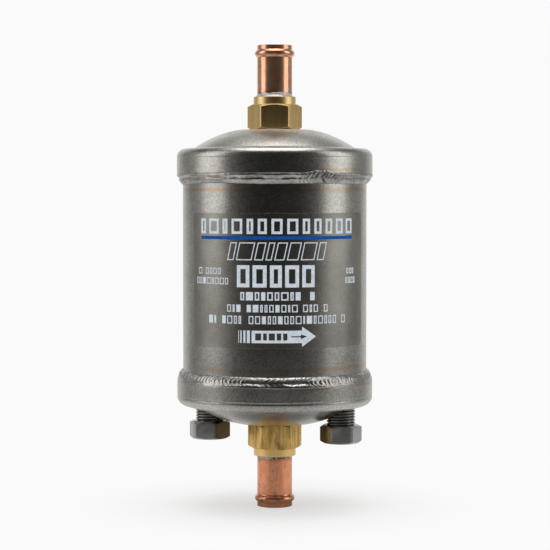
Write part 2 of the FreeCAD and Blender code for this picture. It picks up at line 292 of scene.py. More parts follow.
# Shell.
# A length of drawn steel tube with a satin grey skin. The welds at both ends have heated it: next to them
# it is blue-grey in places, and a little further away straw and brown.
shell_light = (0.62, 0.60, 0.55, 1.0)
shell_dark = (0.415, 0.40, 0.362, 1.0)
straw = (0.52, 0.36, 0.24, 1.0)
blued = (0.40, 0.43, 0.50, 1.0)
satin_grain = 0.011 * MM
shell_low, shell_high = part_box("shell")
shell_r = shell_high.x
shell_bore_r = shell_r - 1.8 * MM
mid_height = (shell_low.z + shell_high.z) / 2
weld_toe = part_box("top_weld_bead")[0].z - mid_height
turned_steps = 256
heat_wander = 2.4 * MM
heat_ring_start = (0.9 * MM, 1.6 * MM)
heat_ring_end = (3.0 * MM, 2.1 * MM)
blued_reach = (1.3 * MM, 0.3 * MM)


class Outline:
    """The section of a turned piece, as points of radius and height, drawn corner by corner."""

    def __init__(self, radius, height):
        self.points = [(radius, height)]

    def line(self, radius, height, steps=1, support=0.25 * MM):
        """A straight run, with a point near each end that keeps the run's shading flat."""
        start = np.array(self.points[-1])
        run = np.array((radius, height)) - start
        share = min(support / max(np.linalg.norm(run), 1e-9), 0.3)
        shares = [share] + [i / steps for i in range(1, steps)] + [1 - share, 1.0]
        self.points += [tuple(start + run * part) for part in shares]
        return self

    def arc(self, centre, radius, height, steps=8):
        """The shorter arc about a centre, to the given end."""
        middle = complex(*centre)
        first = complex(*self.points[-1]) - middle
        last = complex(radius, height) - middle
        first_angle = math.atan2(first.imag, first.real)
        sweep = math.remainder(math.atan2(last.imag, last.real) - first_angle, math.tau)
        for i in range(1, steps + 1):
            share = i / steps
            reach = abs(first) + (abs(last) - abs(first)) * share
            angle = first_angle + sweep * share
            self.points.append((centre[0] + reach * math.cos(angle), centre[1] + reach * math.sin(angle)))
        return self


def eased(points, ease, steps=3, least_deg=25.0):
    """A closed section with its sharp corners rounded off a little."""
    count = len(points)
    smooth = []
    for i, here in enumerate(points):
        before = np.array(points[i - 1]) - here
        after = np.array(points[(i + 1) % count]) - here
        lengths = np.linalg.norm(before), np.linalg.norm(after)
        if min(lengths) < 1e-9:
            continue
        turn = math.degrees(math.acos(np.clip(-before @ after / (lengths[0] * lengths[1]), -1, 1)))
        if turn < least_deg or here[0] < 1e-9:
            smooth.append(tuple(here))
            continue
        start = np.array(here) + before * min(ease / lengths[0], 0.45)
        end = np.array(here) + after * min(ease / lengths[1], 0.45)
        for k in range(steps + 1):
            share = k / steps
            bend = (1 - share) ** 2 * start + 2 * share * (1 - share) * np.array(here) + share ** 2 * end
            smooth.append(tuple(bend))
    return smooth


def link(name, mesh, *materials):
    """A new object with a smooth-shaded mesh."""
    for material in materials:
        mesh.materials.append(material)
    mesh.polygons.foreach_set("use_smooth", [True] * len(mesh.polygons))
    made = bpy.data.objects.new(name, mesh)
    bpy.context.scene.collection.objects.link(made)
    return made


def closed_mesh(name, points, faces):
    """A mesh with its doubles merged and its faces turned outwards."""
    work = bmesh.new()
    corners = [work.verts.new(point) for point in points]
    for face in faces:
        work.faces.new([corners[i] for i in face])
    bmesh.ops.remove_doubles(work, verts=work.verts, dist=1e-7)
    bmesh.ops.dissolve_degenerate(work, edges=work.edges, dist=1e-8)
    bmesh.ops.recalc_face_normals(work, faces=work.faces)
    mesh = bpy.data.meshes.new(name)
    work.to_mesh(mesh)
    work.free()
    return mesh


def ring_faces(rows, columns):
    """Four-sided faces over a net of points that closes on itself both ways."""
    faces = []
    for i in range(rows):
        here = i * columns
        after = (i + 1) % rows * columns
        for j in range(columns):
            beside = (j + 1) % columns
            faces.append((here + j, here + beside, after + beside, after + j))
    return faces


def turned(name, section, turns, clip=None):
    """A mesh spun about the axis from a closed section. The clip trims the radius at each angle."""
    radii = np.array([point[0] for point in section])[:, None]
    heights = np.array([point[1] for point in section])[:, None]
    angles = np.array(turns)[None, :]
    reach = radii + 0 * angles if clip is None else clip(radii + 0 * angles, angles + 0 * radii)
    points = np.stack([reach * np.cos(angles), reach * np.sin(angles), heights + 0 * angles], axis=2)
    return closed_mesh(name, points.reshape(-1, 3), ring_faces(*reach.shape))


def even_turns(count):
    return [math.tau * i / count for i in range(count)]


def new_finish(name):
    """A new material, its shader, and the coordinates of the piece it is on."""
    material = bpy.data.materials.new(name)
    material.use_nodes = True
    tree = material.node_tree
    place = Value(tree, tree.nodes.new("ShaderNodeTexCoord").outputs["Object"])
    return material, tree.nodes["Principled BSDF"], place


def fit(shader, **sockets):
    """Sets the shader's sockets to numbers or links."""
    for name, value in sockets.items():
        socket = shader.inputs[name.replace("_", " ")]
        if isinstance(value, Value):
            value.tree.links.new(value.socket, socket)
        else:
            socket.default_value = value


def bumps(place, *layers):
    """A normal from layers of (height, depth in metres), the widest first."""
    normal = None
    for height, depth in layers:
        values = {"Strength": 1.0, "Distance": depth, "Height": height}
        if normal is not None:
            values["Normal"] = normal
        normal = place.node("ShaderNodeBump", values=values)
    return normal


def steel_skin(name, light, dark, rough, tint, scaled=None):
    """Satin steel with a fine grain, cloudy handling marks and a heat tint, rougher where it is scaled."""
    material, shader, place = new_finish(name)
    clouds = place.noise(120.0, 4.0, 0.6)
    speckle = place.noise(1500.0, 3.0, 0.7)
    colour = mixed((clouds * 0.25 + speckle * 0.75).rise(0.40, 0.60), dark, light)
    roughness = rough - 0.05 + clouds * 0.05 + speckle * 0.05
    if scaled is not None:
        roughness = roughness + scaled(place)
    fit(shader, Base_Color=tint(place, colour), Metallic=1.0, Roughness=roughness,
        Normal=bumps(place, (clouds, 0.014 * MM), (speckle, satin_grain)))
    return material


def weld_heat(place, colour):
    """Blue-grey at the weld's toe, then straw and brown, with an uneven edge."""
    across, _, height = place.xyz()
    from_toe = weld_toe - (height - mid_height).size()
    away = from_toe + (place.noise(70.0, 3.0, 0.6) - 0.5) * heat_wander
    patches = place.stretched(1, 1, 0.2).noise(34.0, 2.0, 0.5).rise(0.36, 0.60)
    beside = across.size().rise(2.0 * MM, 12.0 * MM)
    upper_left = height.rise(mid_height, mid_height + 20 * MM) * across.rise(-6.0 * MM, -12.0 * MM)
    near = away.rise(*blued_reach) * upper_left * patches
    ring = away.rise(*heat_ring_start) * away.rise(*heat_ring_end)
    warm = mixed(ring * (0.20 + 0.40 * beside * patches + 0.25 * upper_left), colour, straw)
    return mixed(near * 0.7, warm, blued)


shell_steel = steel_skin("satin shell steel", shell_light, shell_dark, rough=0.29, tint=weld_heat)
tube = Outline(shell_bore_r, shell_low.z).line(shell_r, shell_low.z).line(shell_r, shell_high.z, 40)
tube.line(shell_bore_r, shell_high.z).line(shell_bore_r, shell_low.z)
tube_mesh = turned("shell_tube", eased(tube.points, 0.1 * MM), even_turns(turned_steps))
shell = link("shell_tube", tube_mesh, shell_steel)
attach(shell, "root")
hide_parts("shell")

# End caps.
# Each is pressed from one steel sheet: a flat land for the adapter, a low dome, a groove, a flat shoulder
# and a straight skirt that slips over the shell. The lower one has two holes for the screws.
cap_low, cap_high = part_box("bottom_cap")
total_height = cad_high.z
cap_r = cap_high.x
cap_wall = 2.1 * MM
land_z = cap_low.z
skirt_z = cap_high.z
shoulder_inner_round = 0.9 * MM
shoulder_flat = 3.0 * MM
dome_r = 56.0 * MM
valley_round = 2.0 * MM
hex_flats = 17.3 * MM
land_r = hex_flats / math.sqrt(3) + 3.2 * MM
shoulder_round = shoulder_inner_round + cap_wall
dome_base_r = cap_r - shoulder_round - shoulder_flat
dome_level = math.sqrt(dome_r ** 2 - dome_base_r ** 2)
shoulder_z = land_z + math.sqrt(dome_r ** 2 - land_r ** 2) - dome_level
dome_hub_z = shoulder_z + dome_level
valley_r = math.sqrt((dome_r + valley_round) ** 2 - (dome_level + valley_round) ** 2)
skirt_end = mid_height - skirt_z
hub_hole_r = 7.25 * MM
screw_thread_r = 5.2 * MM
screw_hole_r = screw_thread_r + 0.1 * MM
dome_fullness = 0.33 * MM
draw_line_z = 40.9 * MM
draw_line_depth = 0.035 * MM
draw_line_steps = ((-0.5, 0.0), (-0.2, 1.0), (0.1, 0.8), (0.5, -0.25), (0.9, 0.0))
braze_smoke = (0.34, 0.255, 0.21, 1.0)
braze_blush = (0.92, 0.77, 0.67, 1.0)
braze_smoke_r = (19.0 * MM, 11.5 * MM)
torch_scale_r = (22.0 * MM, 13.0 * MM)
torch_scale_rough = 0.30
foot_line_wander = 5.0 * MM
foot_line_width = (0.9 * MM, 0.1 * MM)
cap_light = (0.66, 0.64, 0.585, 1.0)
cap_dark = (0.44, 0.425, 0.385, 1.0)


def cap_side(inset):
    """One side of the pressed sheet, from the hub hole to the skirt's end, with the draw line outside."""
    skin_r = dome_r - inset
    flat_z = land_z + inset
    land_edge_r = math.sqrt(skin_r ** 2 - (dome_hub_z - flat_z) ** 2)
    valley = (valley_r, shoulder_z - valley_round)
    share = skin_r / (dome_r + valley_round)
    corner = (cap_r - shoulder_round, shoulder_z + shoulder_round)
    side = Outline(hub_hole_r, flat_z).line(land_edge_r, flat_z)
    before = len(side.points)
    side.arc((0, dome_hub_z), share * valley[0], dome_hub_z + share * (valley[1] - dome_hub_z), 30)
    for i in range(before, len(side.points)):
        along = (i + 1 - before) / (len(side.points) - before)
        radius, height = side.points[i]
        side.points[i] = (radius, height - 4 * dome_fullness * along * (1 - along))
    side.arc(valley, valley_r, shoulder_z + inset, 7)
    side.line(corner[0], shoulder_z + inset)
    side.arc(corner, cap_r - inset, corner[1], 12)
    line_depth = draw_line_depth if inset == 0 else 0.0
    for rise, depth in draw_line_steps:
        side.line(cap_r - inset - depth * line_depth, draw_line_z + rise * MM, support=0.05 * MM)
    side.line(cap_r - inset, skirt_z, 6)
    return side.points


def upside_down(mesh):
    """The same mesh, turned half round so that it stands at the other end of the vessel."""
    mesh.transform(Matrix.Translation((0, 0, total_height)) @ Matrix.Rotation(math.pi, 4, "Y"))
    return mesh


def cut_holes(piece, places, radius, low, high):
    """Cuts round holes along Z through a piece."""
    around = 72
    points = []
    for x, y in places:
        for z in (low, high):
            points += [(x + radius * math.cos(a), y + radius * math.sin(a), z) for a in even_turns(around)]
    faces = []
    for k in range(len(places)):
        base = 2 * around * k
        faces.append([base + i for i in range(around)])
        faces.append([base + around + i for i in range(around)])
        for i in range(around):
            after = (i + 1) % around
            faces.append([base + i, base + after, base + around + after, base + around + i])
    cutter = link("cutter", closed_mesh("cutter", points, faces))
    cut = piece.modifiers.new("holes", "BOOLEAN")
    cut.object = cutter
    cut.solver = "EXACT"
    evaluated = piece.evaluated_get(bpy.context.evaluated_depsgraph_get())
    mesh = bpy.data.meshes.new_from_object(evaluated)
    piece.modifiers.clear()
    piece.data = mesh
    bpy.data.objects.remove(cutter)


def braze_heat(place, colour):
    """A stain round the adapter, brown below and pale above, and a brown line along the weld's foot."""
    x, y, z = place.xyz()
    from_axis = x.distance(y) + (place.noise(110.0, 3.0, 0.6) - 0.5) * (8.0 * MM)
    cloud = from_axis.rise(*braze_smoke_r)
    wobble = (place.stretched(1, 1, 0.3).noise(48.0, 2.0, 0.5) - 0.5) * foot_line_wander
    from_edge = (z - mid_height).size() - skirt_end - 0.6 * MM + wobble
    edge = (from_edge.size() + (place.noise(90.0, 3.0, 0.6) - 0.5) * (1.2 * MM)).rise(*foot_line_width)
    patches = place.stretched(1, 1, 0.2).noise(38.0, 2.0, 0.5).rise(0.40, 0.62)
    browned = mixed(edge * patches * x.rise(4.0 * MM, 16.0 * MM) * 0.85, colour, straw)
    upper = z.rise(mid_height - 1 * MM, mid_height + 1 * MM)
    return mixed(cloud * 0.75, browned, mixed(upper, braze_smoke, braze_blush))


def torch_scale(place):
    """How much rougher the upper cap is where the torch has scaled it, round the adapter."""
    x, y, z = place.xyz()
    from_axis = x.distance(y) + (place.noise(110.0, 3.0, 0.6) - 0.5) * (6.0 * MM)
    return from_axis.rise(*torch_scale_r) * z.over(mid_height) * torch_scale_rough


cap_steel = steel_skin("satin cap steel", cap_light, cap_dark,
                       rough=0.30, tint=braze_heat, scaled=torch_scale)
cap_section = eased(cap_side(0.0) + cap_side(cap_wall)[::-1], 0.12 * MM)
cap_mesh = turned("bottom_cap_pressing", cap_section, even_turns(turned_steps))
bottom_cap = link("bottom_cap_pressing", cap_mesh, cap_steel)
top_cap = link("top_cap_pressing", upside_down(cap_mesh.copy()))
screw_boxes = {side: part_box(f"screw_{side}") for side in ("left", "right")}
screw_places = {}
for side, (low, high) in screw_boxes.items():
    screw_places[side] = ((low.x + high.x) / 2, (low.y + high.y) / 2)
cut_holes(bottom_cap, list(screw_places.values()), screw_hole_r, land_z - 1 * MM, skirt_z)
bottom_cap.data.polygons.foreach_set("use_smooth", [True] * len(bottom_cap.data.polygons))
for cap, node in ((top_cap, "top_cap"), (bottom_cap, "bottom_cap")):
    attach(cap, "root")
    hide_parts(node)

# Weld beads.
# Each cap's skirt is joined to the shell by one hand-laid fillet of steel. Its face has the crescent
# ripples of the arc, its edges wander, and the upper one shows the lap where the bead starts and stops.
weld_leg = 3.75 * MM
weld_foot_r = cap_r - 0.05 * MM
weld_sizes = {
    "Around": 1500, "Across": 27, "Foot Height": skirt_z, "Toe Height": skirt_z + weld_leg,
    "Foot Radius": weld_foot_r, "Toe Radius": shell_r, "Phase": 0.0, "Way": 1.0,
    "Wander": 0.25 * MM, "Crown": 0.37 * MM, "Ripple Pitch": 1.6 * MM, "Ripple Depth": 0.15 * MM,
    "Bow": 2.4, "Lean": 0.9, "Groove": 0.26 * MM, "Ridge": 0.14 * MM, "Side Ripples": 1.0,
    "Lap Turn": 0.0, "Lap Size": 0.0, "Seed": 3.0,
}
edge_unevenness = 0.5 * MM
crown_change = 0.075 * MM
lump_height = 0.30 * MM
lap_turn_deg = 298.8
lap_reach = (7.5 * MM, 1.0 * MM)
lap_ripple_reach = (15.0 * MM, 6.0 * MM)
lap_swell = 0.40 * MM
crease_place = 0.6 * MM
crease_bend = 3.6 * MM
crease_width = 0.55 * MM
crease_depth = 1.20 * MM
bright_weld_light = (0.66, 0.64, 0.61, 1.0)
bright_weld_dark = (0.40, 0.385, 0.365, 1.0)
dull_weld_light = (0.69, 0.67, 0.635, 1.0)
dull_weld_dark = (0.38, 0.365, 0.345, 1.0)


def new_recipe(name, sizes):
    """A Geometry Nodes tree with a named input for each size and one for the material."""
    tree = bpy.data.node_groups.new(name, "GeometryNodeTree")
    kinds = {int: "NodeSocketInt", float: "NodeSocketFloat"}
    for title, value in sizes.items():
        socket = tree.interface.new_socket(name=title, in_out="INPUT", socket_type=kinds[type(value)])
        socket.default_value = value
    tree.interface.new_socket(name="Material", in_out="INPUT", socket_type="NodeSocketMaterial")
    tree.interface.new_socket(name="Geometry", in_out="OUTPUT", socket_type="NodeSocketGeometry")
    entry = tree.nodes.new("NodeGroupInput")
    return tree, {socket.name: Value(tree, socket) for socket in entry.outputs if socket.name}


def placed(geometry, x, y, z=0.0):
    """A geometry with each of its points moved to the given coordinates."""
    place = geometry.node("ShaderNodeCombineXYZ", values={0: x, 1: y, 2: z})
    return geometry.node("GeometryNodeSetPosition", values={"Geometry": geometry, "Position": place})


def end_recipe(tree, geometry, material):
    """Ends a tree by making its instances real and giving the result its material."""
    real = geometry.node("GeometryNodeRealizeInstances", values={"Geometry": geometry})
    painted = real.node("GeometryNodeSetMaterial", values={"Geometry": real, "Material": material})
    tree.links.new(painted.socket, tree.nodes.new("NodeGroupOutput").inputs["Geometry"])


def grown(name, tree, material, **sizes):
    """The plain mesh that a recipe makes with some of its inputs changed."""
    seedling = bpy.data.objects.new(name, bpy.data.meshes.new(name))
    bpy.context.scene.collection.objects.link(seedling)
    modifier = seedling.modifiers.new("recipe", "NODES")
    modifier.node_group = tree
    given = {title.replace("_", " "): value for title, value in sizes.items()}
    given["Material"] = material
    for item in tree.interface.items_tree:
        if item.in_out == "INPUT" and item.name in given:
            modifier[item.identifier] = given[item.name]
    evaluated = seedling.evaluated_get(bpy.context.evaluated_depsgraph_get())
    mesh = bpy.data.meshes.new_from_object(evaluated)
    bpy.data.objects.remove(seedling)
    return mesh


weld_tree, given = new_recipe("weld bead", weld_sizes)
grid = given["Around"].node("GeometryNodeMeshGrid", values={
    "Size X": 1.0, "Size Y": 1.0, "Vertices X": given["Around"], "Vertices Y": given["Across"]})
grid_x, grid_y, _ = grid.node("GeometryNodeInputPosition").xyz()
turn = (grid_x + 0.5) * math.tau
row = (grid_y + 0.5) * (given["Across"] - 1.0)
last_row = given["Across"] - 3.0
across = (row / last_row).maths("MINIMUM", 1.0)
back_row = row.over(last_row + 1.5)
root_row = row.over(last_row + 0.5) - back_row
across = across * (1 - back_row)
cad_turn = (1 - given["Way"]) * (math.pi / 2) + turn * given["Way"]
long_wave = (cad_turn * 3 + given["Phase"]).maths("SINE")
short_wave = (cad_turn * 5 + given["Phase"] * 2.3).maths("SINE")
around_x = turn.maths("COSINE")
around_y = turn.maths("SINE")
ring_place = grid.node("ShaderNodeCombineXYZ", values={
    0: around_x, 1: around_y, 2: across * 0.12 + given["Seed"]})
edge_place = ring_place.stretched(1, 1, 0)
along = turn * shell_r
from_lap = along - given["Lap Turn"] * shell_r
in_lap = from_lap.size().rise(*lap_reach) * given["Lap Size"].over(0.0)
near_lap = from_lap.size().rise(*lap_ripple_reach) * given["Lap Size"].over(0.0)
toe_wander = given["Wander"] * ((long_wave + short_wave) / 2)
toe_wander = toe_wander + (edge_place.noise(26.0, 3.0, 0.6) - 0.5) * edge_unevenness
foot_wander = (edge_place.noise(21.0, 3.0, 0.6) - 0.5) * edge_unevenness - in_lap * given["Lap Size"]
toe_z = given["Toe Height"] + given["Way"] * toe_wander
foot_z = given["Foot Height"] + given["Way"] * foot_wander
width = given["Foot Radius"] - given["Toe Radius"]
leg = (toe_z - foot_z).size()
slope = width.distance(leg)
off_centre = across * 2.0 - 1.0
hump = across * (1 - across) * 4.0 * (1 + given["Lean"] * off_centre)
bowed = along - off_centre * off_centre * (given["Bow"] * MM)
beside_front = (turn * 2.0).maths("COSINE").rise(-0.80, -0.55) * given["Side Ripples"]
ripple_zone = edge_place.noise(3.2, 2.0, 0.5).rise(0.42, 0.60).maths("MAXIMUM", near_lap)
ripple_zone = ripple_zone.maths("MAXIMUM", beside_front)
ripple_step = bowed / given["Ripple Pitch"] + ring_place.noise(7.0, 3.0, 0.6) * 3.0
ripple = (ripple_step * math.pi).maths("SINE").size().power(0.8) * ripple_zone
crease_at = from_lap - (across - 0.45).size() * crease_bend + crease_place
crease = crease_at.size().rise(crease_width, 0.0) * in_lap.over(0.001) * hump
run_place = across + (edge_place.noise(9.0, 3.0, 0.6) - 0.5) * 0.22
between_runs = (run_place - 0.40).size().rise(0.17, 0.0) * (1 - ripple_zone * 0.8)
foot_run = (run_place - 0.14).size().rise(0.13, 0.0)
foot_run = foot_run * (0.35 + 0.65 * ring_place.noise(6.0, 2.0, 0.5).rise(0.35, 0.6))
swell = given["Crown"] + (cad_turn * 8 + given["Phase"]).maths("COSINE") * crown_change
lumps = (ring_place.noise(11.0, 4.0, 0.65) - 0.5) * lump_height
relief = ripple * given["Ripple Depth"] * (1.0 + near_lap * 0.6) + lumps
crown = hump.power(0.65) * swell + hump.power(0.5) * relief
crown = crown + hump * in_lap * lap_swell - crease * crease_depth
crown = crown + foot_run * given["Ridge"] - between_runs * given["Groove"]
bead_r = given["Foot Radius"] - width * across + crown * leg / slope
bead_z = foot_z + (toe_z - foot_z) * across + crown * width / slope * given["Way"]
bead_r = bead_r * (1 - root_row) + given["Toe Radius"] * root_row
bead_z = bead_z * (1 - root_row) + foot_z * root_row
bent = placed(grid, bead_r * around_x, bead_r * around_y, bead_z)
joined = bent.node("GeometryNodeMergeByDistance", values={"Geometry": bent, "Distance": 1e-6})
end_recipe(weld_tree, joined, given["Material"])


def weld_skin(name, light, dark, rough, browning):
    """Bare weld metal in bright and dark clouds, with brown patches left by the heat."""
    material, shader, place = new_finish(name)
    clouds = place.noise(160.0, 4.0, 0.65)
    speckle = place.noise(1600.0, 3.0, 0.6)
    colour = mixed((clouds * 0.6 + speckle * 0.4).rise(0.38, 0.62), dark, light)
    brown = place.noise(60.0, 3.0, 0.6).rise(0.52, 0.66)
    colour = mixed(brown * browning, colour, straw)
    fit(shader, Base_Color=colour, Metallic=1.0, Roughness=rough + (0.5 - clouds) * 0.35,
        Normal=bumps(place, (clouds, 0.10 * MM), (speckle, 0.02 * MM)))
    return material


def outwards(mesh):
    """The same mesh with all its faces turned outwards."""
    work = bmesh.new()
    work.from_mesh(mesh)
    bmesh.ops.recalc_face_normals(work, faces=work.faces)
    work.to_mesh(mesh)
    work.free()
    return mesh


weld_bright = weld_skin("bright weld", bright_weld_light, bright_weld_dark, rough=0.30, browning=0.25)
weld_dull = weld_skin("dull weld", dull_weld_light, dull_weld_dark, rough=0.36, browning=0.35)
bottom_bead = link("bottom_weld_run", outwards(grown("bottom_weld_run", weld_tree, weld_bright)))
top_bead = link("top_weld_run", outwards(grown(
    "top_weld_run", weld_tree, weld_dull, Foot_Height=total_height - skirt_z,
    Toe_Height=total_height - skirt_z - weld_leg, Phase=1.1, Way=-1.0, Ripple_Depth=0.17 * MM,
    Bow=1.5, Lean=0.0, Groove=0.40 * MM, Ridge=0.20 * MM, Side_Ripples=0.0,
    Lap_Turn=math.radians(lap_turn_deg), Lap_Size=1.1 * MM, Seed=11.0)))
for bead, node in ((top_bead, "top_weld_bead"), (bottom_bead, "bottom_weld_bead")):
    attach(bead, "root")
    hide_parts(node)

# Brass adapters.
# Each is turned from one hexagonal brass bar, with a round collar, a bore with a socket for the stub and
# a spigot through the cap. The torch has left dark patches on its flats.
collar_low, collar_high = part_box("bottom_fitting")
collar_z = collar_low.z
spigot_end_z = collar_high.z
hex_z = collar_z + 2.8 * MM
stub_r = 6.35 * MM
stub_bore_r = stub_r - 1.0 * MM
collar_r = stub_r + 1.3 * MM
collar_chamfer = 0.2 * MM
spigot_r = stub_bore_r + 1.85 * MM
socket_r = stub_r + 0.05 * MM
socket_z = collar_z + 9.3 * MM
hex_face_share = 0.96
hex_chamfer_deg = 30.0
hex_edge = 0.05 * MM
hex_reach = 0.7 * MM
low_hex_sharpness = 28.0
top_hex_sharpness = 48.0
brass_turned = (1.0, 0.75, 0.37, 1.0)
brass_light = (1.0, 0.72, 0.33, 1.0)
brass_dark = (0.86, 0.60, 0.25, 1.0)
brass_burnt = (0.20, 0.12, 0.05, 1.0)
brass_heated = (1.0, 0.69, 0.27, 1.0)
brass_yellow = (1.0, 0.67, 0.22, 1.0)
brass_brown = (0.66, 0.39, 0.10, 1.0)


def hex_turns(per_side):
    """Angles for a hexagonal piece with flats towards -Y and +Y, closest together at its corners."""
    turns = []
    for side in range(6):
        middle = math.pi / 6 + side * math.pi / 3
        for i in range(per_side):
            turns.append(middle + math.pi / 6 * math.sin(math.pi / 2 * (2 * i / per_side - 1)))
    return turns


def hex_clip(flats, sharpness):
    """A function that trims a turned piece to a hexagon with slightly rounded corners and edges."""
    def clip(radii, angles):
        total = 0.0
        for side in range(6):
            facing = np.cos(angles - math.pi / 6 - side * math.pi / 3)
            total = total + np.maximum(facing, 1e-6) ** sharpness
        hexagon = flats / 2 / total ** (1 / sharpness)
        gap = (radii - hexagon) / hex_edge
        blend = radii - hex_edge * np.log1p(np.exp(np.clip(gap, -30, 30)))
        return np.where(gap > 30, hexagon, np.where(gap < -30, radii, blend))
    return clip


def hex_prism(outline, flats, low, high, face_share):
    """Adds a chamfered hexagonal bar to an outline, drawn upwards, for a piece that is then clipped."""
    face_r = face_share * flats / 2
    outer_r = flats / math.sqrt(3) + hex_reach
    drop = (outer_r - face_r) * math.tan(math.radians(hex_chamfer_deg))
    outline.line(face_r, low)
    outline.line(outer_r, low + drop, 22)
    outline.line(outer_r, high - drop)
    outline.line(face_r, high, 22)
    return outline


def brass_skin(name, turned_part, light, dark, metal, burn, rough):
    """Brass with a bright turned collar, and drawing streaks and burnt patches on the bar's flats."""
    material, shader, place = new_finish(name)
    x, y, _ = place.xyz()
    on_bar = x.distance(y).rise(collar_r + 0.05 * MM, collar_r + 0.5 * MM)
    streaks = place.stretched(1, 1, 0.06).noise(1100.0, 3.0, 0.6)
    clouds = place.noise(260.0, 3.0, 0.6)
    burnt = place.stretched(1, 1, 0.4).noise(150.0, 4.0, 0.65).rise(0.62 - burn, 0.80 - burn) * on_bar
    bar = mixed((streaks * 0.7 + clouds * 0.3).rise(0.42, 0.56), dark, light)
    colour = mixed(burnt * 0.7, mixed(on_bar, turned_part, bar), brass_burnt)
    fit(shader, Base_Color=colour, Metallic=metal, Roughness=rough + burnt * 0.10,
        Normal=bumps(place, (clouds, 0.02 * MM), (streaks, 0.010 * MM)))
    return material


top_brass = brass_skin("bright brass", brass_turned, brass_light, brass_dark,
                       metal=1.0, burn=0.03, rough=0.38)
low_brass = brass_skin("heated brass", brass_heated, brass_yellow, brass_brown,
                       metal=0.76, burn=0.11, rough=0.36)
adapter = Outline(stub_bore_r, socket_z).line(socket_r, socket_z).line(socket_r, collar_z)
adapter.line(collar_r - collar_chamfer, collar_z).line(collar_r, collar_z + collar_chamfer)
adapter.line(collar_r, hex_z)
hex_prism(adapter, hex_flats, hex_z, land_z, hex_face_share)
adapter.line(spigot_r, land_z).line(spigot_r, spigot_end_z).line(stub_bore_r, spigot_end_z)
adapter.line(stub_bore_r, socket_z)
adapter_section = eased(adapter.points, 0.08 * MM)
low_clip = hex_clip(hex_flats, low_hex_sharpness)
top_clip = hex_clip(hex_flats, top_hex_sharpness)
low_adapter_mesh = turned("bottom_adapter", adapter_section, hex_turns(36), low_clip)
top_adapter_mesh = turned("top_adapter", adapter_section, hex_turns(36), top_clip)
bottom_adapter = link("bottom_adapter", low_adapter_mesh, low_brass)
top_adapter = link("top_adapter", upside_down(top_adapter_mesh), top_brass)
for piece, node in ((top_adapter, "top_fitting"), (bottom_adapter, "bottom_fitting")):
    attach(piece, "root")
    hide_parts(node)

# Copper stubs.
# Each is a short copper tube with one bead rolled near its free end. The upper one is bright, and the
# lower one is tarnished, with dark specks.
bead_from_end = 2.95 * MM
bead_height = 0.85 * MM
bead_crest_r = 1.4 * MM
bead_blend_r = 0.6 * MM
groove_height = 0.7 * MM
groove_crest_r = 0.7 * MM
groove_blend_r = 0.5 * MM
lip_chamfer = 0.15 * MM
copper_bright = (1.0, 0.61, 0.43, 1.0)
copper_warm = (0.92, 0.42, 0.22, 1.0)
copper_flame = (0.99, 0.47, 0.27, 1.0)
copper_red = (0.82, 0.31, 0.155, 1.0)
copper_brown = (0.36, 0.16, 0.085, 1.0)


def add_bead(outline, wall_r, height, crest_r, blend_r, step):
    """Adds the rolled bead to a stub's wall, drawn upwards for step 1 and downwards for step -1."""
    reach = math.sqrt((crest_r + blend_r) ** 2 - (crest_r + blend_r - height) ** 2)
    crest = (wall_r + height - crest_r, bead_from_end)
    share = crest_r / (crest_r + blend_r)
    before = (wall_r + blend_r, bead_from_end - step * reach)
    after = (wall_r + blend_r, bead_from_end + step * reach)
    outline.line(wall_r, before[1])
    outline.arc(before, *[crest[i] + (before[i] - crest[i]) * share for i in (0, 1)], 6)
    outline.arc(crest, wall_r + height, bead_from_end, 8)
    outline.arc(crest, *[crest[i] + (after[i] - crest[i]) * share for i in (0, 1)], 8)
    outline.arc(after, wall_r, after[1], 6)


def copper_skin(name, light, warm, tarnish, rough):
    """Copper that has browned in the flame, with dark specks where it is tarnished, and a brown band next
    to the collar that is heat browning, and on the lower stub also painted shade under the collar.
    """
    material, shader, place = new_finish(name)
    clouds = place.noise(330.0, 4.0, 0.6)
    specks = place.noise(1300.0, 2.0, 0.5).rise(0.66, 0.74)
    runs = place.stretched(1, 1, 0.25).noise(520.0, 4.0, 0.65)
    colour = mixed((clouds * 0.5 + runs * 0.5).rise(0.38, 0.62), warm, light)
    colour = mixed(runs.rise(0.52, 0.68) * tarnish * 0.7, colour, copper_brown)
    colour = mixed(clouds.rise(0.66 - tarnish * 0.2, 0.74) * tarnish, colour, copper_brown)
    colour = mixed(specks * tarnish, colour, copper_brown)
    from_collar = (place.xyz()[2] - mid_height).size() - (mid_height - collar_z)
    # A brown band next to the collar: heat browning, and on the lower stub also painted shade under the
    # collar.
    scorch_and_shade = (from_collar + (clouds - 0.5) * (2.0 * MM)).rise(2.2 * MM, 0.8 * MM)
    colour = mixed(scorch_and_shade * 0.55, colour, copper_brown)
    fit(shader, Base_Color=colour, Metallic=0.93, Roughness=rough + (clouds - 0.5) * 0.2,
        Normal=bumps(place, (clouds, 0.025 * MM), (place.noise(2600.0), 0.006 * MM)))
    return material


top_copper = copper_skin("bright copper", copper_bright, copper_warm, tarnish=0.25, rough=0.21)
low_copper = copper_skin("tarnished copper", copper_flame, copper_red, tarnish=0.75, rough=0.23)
pipe = Outline(stub_bore_r, 0).line(stub_r - lip_chamfer, 0)
pipe.arc((stub_r - lip_chamfer, lip_chamfer), stub_r, lip_chamfer, 5)
add_bead(pipe, stub_r, bead_height, bead_crest_r, bead_blend_r, 1)
pipe.line(stub_r, socket_z).line(stub_bore_r, socket_z)
add_bead(pipe, stub_bore_r, groove_height, groove_crest_r, groove_blend_r, -1)
pipe.line(stub_bore_r, 0)
stub_mesh = turned("bottom_pipe", eased(pipe.points, 0.1 * MM), even_turns(160))
bottom_pipe = link("bottom_pipe", stub_mesh.copy(), low_copper)
top_pipe = link("top_pipe", upside_down(stub_mesh), top_copper)
for piece, node in ((top_pipe, "top_stub"), (bottom_pipe, "bottom_stub")):
    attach(piece, "root")
    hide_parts(node)

